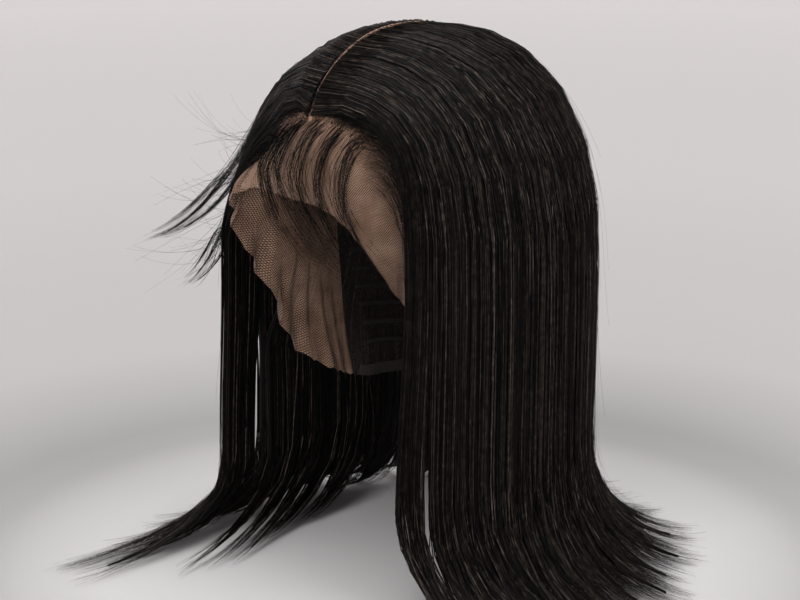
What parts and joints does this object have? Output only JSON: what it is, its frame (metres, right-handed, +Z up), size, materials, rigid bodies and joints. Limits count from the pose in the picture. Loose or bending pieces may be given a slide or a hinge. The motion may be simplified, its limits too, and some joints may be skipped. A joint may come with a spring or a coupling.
{
  "type": "lace front wig of straight black human hair",
  "caption": "Shoulder-length straight black wig parted in the middle: lace front with uncut margin, net cap, side curtains of hair, under hair, baby hair and flyaway temple locks.",
  "frame": {"origin": "inside top of the cap, where the crown of the head bears", "axes": "+Z up out of the crown, the face looks along -Y, +X to the wearer's left"},
  "size_m": [0.396, 0.41, 0.3741],
  "materials": {
    "hair": "straight natural-black human hair with a soft sheen and brown glints",
    "lace": "fine light-brown Swiss lace, sheer",
    "net": "dark brown stretch net, matt"
  },
  "bodies": {
    "root": {"lace_front": "lace", "cap_net": "net", "hair_left": "hair", "hair_right": "hair", "under_hair_left": "hair", "under_hair_right": "hair", "baby_hair_1": "hair", "baby_hair_2": "hair", "baby_hair_3": "hair", "baby_hair_4": "hair", "baby_hair_5": "hair", "baby_hair_6": "hair", "temple_lock_upper": "hair", "temple_lock_lower": "hair"}
  },
  "joints": []
}
